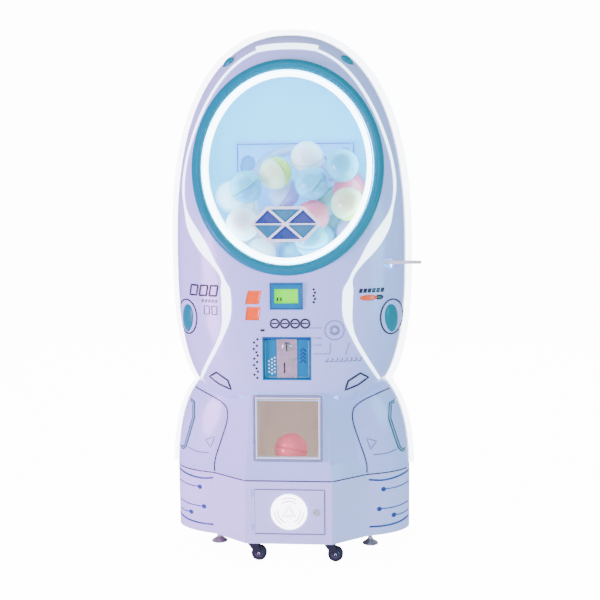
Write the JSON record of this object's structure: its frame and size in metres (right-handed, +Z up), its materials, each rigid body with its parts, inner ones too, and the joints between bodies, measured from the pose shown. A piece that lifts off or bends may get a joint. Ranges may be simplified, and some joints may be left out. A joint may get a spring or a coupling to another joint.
{
  "type": "capsule toy vendor",
  "caption": "Egg-shaped capsule toy vending machine on a faceted base with side pods, round lit window, coin panel, prize opening and service door.",
  "frame": {"origin": "on the floor under the middle of the machine's bounding box", "axes": "+Z up, front faces -Y, the machine's own right-hand side as seen from the front is +X"},
  "size_m": [0.832, 0.6506, 1.72],
  "materials": {
    "shell_white": "gloss moulded white",
    "base_white": "satin powder coat",
    "steel_zinc": "zinc plated",
    "bezel_teal": "gloss teal",
    "clear_acrylic": "clear",
    "light_white": "lit diffuser",
    "liner_blue": "matte",
    "screen_green": "lit display",
    "plate_steel": "brushed",
    "chrome": "polished",
    "dark_plastic": "black",
    "tread_rubber": "black tread",
    "bin_cream": "cream sheet",
    "capsule_mix": "gloss shells",
    "capsule_pink": "gloss shell",
    "label_print": "printed film",
    "badge_white": "lit badge",
    "motor_grey": "grey"
  },
  "bodies": {
    "cabinet": {"egg_front_shell": "shell_white", "rear_cover": "shell_white", "rear_cabinet": "base_white", "pod_shell_left": "shell_white", "pod_shell_right": "shell_white", "front_bay_shell": "shell_white", "halo_plate": "light_white", "base_shell": "base_white", "base_floor": "steel_zinc", "chamber_liner": "liner_blue", "back_panel": "liner_blue", "window_sleeve": "light_white", "window_bezel": "bezel_teal", "window_pane": "clear_acrylic", "light_ring": "light_white", "capsules_in_chamber": "capsule_mix", "wheel_housing": "liner_blue", "gear_motor": "motor_grey", "capsule_chute": "bin_cream", "prize_bin": "bin_cream", "prize_frame": "shell_white", "prize_capsule": "capsule_pink", "display_bezel": "bezel_teal", "display_screen": "screen_green", "coin_panel": "bezel_teal", "coin_plate": "plate_steel", "coin_entry": "chrome", "coin_acceptor": "dark_plastic", "coin_plate_screws": "chrome", "coin_chute": "steel_zinc", "cash_box": "steel_zinc", "lever_escutcheon": "dark_plastic", "lever_bracket": "steel_zinc", "caster_plates": "steel_zinc", "power_supply": "steel_zinc", "power_inlet": "dark_plastic", "light_strips": "light_white", "marker_lamps": "bezel_teal", "window_label": "label_print"},
    "lever": {"side_lever": "shell_white"},
    "reject_button": {"reject_button": "chrome"},
    "prize_flap": {"prize_flap": "clear_acrylic"},
    "service_door": {"service_door": "base_white", "service_badge": "badge_white"},
    "service_lock": {"service_lock": "chrome"},
    "rear_door": {"rear_door": "base_white"},
    "rear_lock": {"rear_lock": "chrome"},
    "dispensing_wheel": {"dispensing_wheel": "base_white"},
    "caster_front_left_fork": {"caster_front_left_fork": "dark_plastic"},
    "caster_front_left_wheel": {"caster_front_left_wheel": "tread_rubber"},
    "foot_front_left": {"levelling_foot_front_left": "chrome"},
    "caster_front_right_fork": {"caster_front_right_fork": "dark_plastic"},
    "caster_front_right_wheel": {"caster_front_right_wheel": "tread_rubber"},
    "foot_front_right": {"levelling_foot_front_right": "chrome"},
    "caster_rear_left_fork": {"caster_rear_left_fork": "dark_plastic"},
    "caster_rear_left_wheel": {"caster_rear_left_wheel": "tread_rubber"},
    "foot_rear_left": {"levelling_foot_rear_left": "chrome"},
    "caster_rear_right_fork": {"caster_rear_right_fork": "dark_plastic"},
    "caster_rear_right_wheel": {"caster_rear_right_wheel": "tread_rubber"},
    "foot_rear_right": {"levelling_foot_rear_right": "chrome"}
  },
  "joints": [
    {"name": "lever_pull", "type": "hinge", "parent": "cabinet", "child": "lever", "pos_m": [0.284, -0.236, 0.975], "axis": [0, 1, 0], "range_deg": [0, 12], "stiffness_Nm_per_rad": 6, "springref_deg": -8.59},
    {"name": "reject_press", "type": "slide", "parent": "cabinet", "child": "reject_button", "axis": [0, 1, 0], "range_m": [0, 0.003], "stiffness_N_per_m": 400, "springref_m": -0.002},
    {"name": "prize_flap_lift", "type": "hinge", "parent": "cabinet", "child": "prize_flap", "pos_m": [0, -0.30716, 0.54254], "axis": [-1, 0, 0], "range_deg": [0, 75]},
    {"name": "service_door_swing", "type": "hinge", "parent": "cabinet", "child": "service_door", "pos_m": [-0.1205, -0.3255, 0.182], "axis": [0, 0, -1], "range_deg": [0, 110]},
    {"name": "service_lock_turn", "type": "hinge", "parent": "service_door", "child": "service_lock", "pos_m": [0.09, -0.322, 0.182], "axis": [0, 1, 0], "range_deg": [0, 90]},
    {"name": "rear_door_swing", "type": "hinge", "parent": "cabinet", "child": "rear_door", "pos_m": [0.174, 0.2315, 1.02], "axis": [0, 0, -1], "range_deg": [0, 110]},
    {"name": "rear_lock_turn", "type": "hinge", "parent": "rear_door", "child": "rear_lock", "pos_m": [-0.145, 0.2295, 1.02], "axis": [0, 1, 0], "range_deg": [-90, 0]},
    {"name": "dispensing_wheel_turn", "type": "hinge", "parent": "cabinet", "child": "dispensing_wheel", "pos_m": [0, 0, 0.9], "axis": [0, 0, 1], "continuous": true},
    {"name": "caster_front_left_swivel", "type": "hinge", "parent": "cabinet", "child": "caster_front_left_fork", "pos_m": [-0.125, -0.268, 0.065], "axis": [0, 0, 1], "continuous": true},
    {"name": "caster_front_left_roll", "type": "hinge", "parent": "caster_front_left_fork", "child": "caster_front_left_wheel", "pos_m": [-0.102, -0.268, 0.0265], "axis": [0, 1, 0], "continuous": true},
    {"name": "foot_front_left_level", "type": "slide", "parent": "cabinet", "child": "foot_front_left", "axis": [0, 0, 1], "range_m": [-0.015, 0.01]},
    {"name": "caster_front_right_swivel", "type": "hinge", "parent": "cabinet", "child": "caster_front_right_fork", "pos_m": [0.125, -0.268, 0.065], "axis": [0, 0, 1], "continuous": true},
    {"name": "caster_front_right_roll", "type": "hinge", "parent": "caster_front_right_fork", "child": "caster_front_right_wheel", "pos_m": [0.148, -0.268, 0.0265], "axis": [0, 1, 0], "continuous": true},
    {"name": "foot_front_right_level", "type": "slide", "parent": "cabinet", "child": "foot_front_right", "axis": [0, 0, 1], "range_m": [-0.015, 0.01]},
    {"name": "caster_rear_left_swivel", "type": "hinge", "parent": "cabinet", "child": "caster_rear_left_fork", "pos_m": [-0.125, 0.25, 0.065], "axis": [0, 0, 1], "continuous": true},
    {"name": "caster_rear_left_roll", "type": "hinge", "parent": "caster_rear_left_fork", "child": "caster_rear_left_wheel", "pos_m": [-0.102, 0.25, 0.0265], "axis": [0, 1, 0], "continuous": true},
    {"name": "foot_rear_left_level", "type": "slide", "parent": "cabinet", "child": "foot_rear_left", "axis": [0, 0, 1], "range_m": [-0.015, 0.01]},
    {"name": "caster_rear_right_swivel", "type": "hinge", "parent": "cabinet", "child": "caster_rear_right_fork", "pos_m": [0.125, 0.25, 0.065], "axis": [0, 0, 1], "continuous": true},
    {"name": "caster_rear_right_roll", "type": "hinge", "parent": "caster_rear_right_fork", "child": "caster_rear_right_wheel", "pos_m": [0.148, 0.25, 0.0265], "axis": [0, 1, 0], "continuous": true},
    {"name": "foot_rear_right_level", "type": "slide", "parent": "cabinet", "child": "foot_rear_right", "axis": [0, 0, 1], "range_m": [-0.015, 0.01]}
  ]
}
